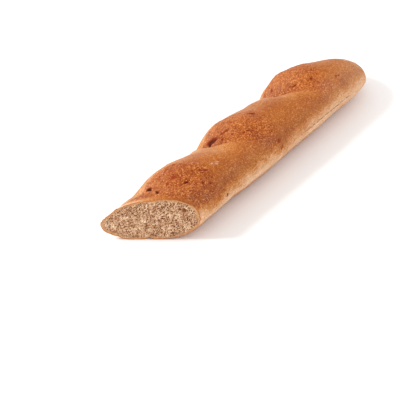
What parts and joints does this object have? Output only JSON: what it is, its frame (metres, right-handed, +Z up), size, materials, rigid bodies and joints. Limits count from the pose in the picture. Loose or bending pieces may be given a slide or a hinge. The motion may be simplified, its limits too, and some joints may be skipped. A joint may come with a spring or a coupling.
{
  "type": "baguette",
  "caption": "Long crusty loaf lying on its flat base, round at one end and cut off on a slant at the other, with slanting scores that opened into swollen, cracked ridges",
  "frame": {"origin": "middle of the loaf's box, at the level of the flat base it rests on", "axes": "+X along the loaf from the slanted cut to the round tip, +Y towards the side where the ridges swell most, +Z up out of the crown"},
  "size_m": [0.3638, 0.0754, 0.0489],
  "materials": {
    "crust": "dry baked crust, dull with a slight sheen on the browned ridges",
    "crumb": "open, porous crumb, fully matt"
  },
  "bodies": {
    "root": {"loaf": "crust"}
  },
  "joints": []
}
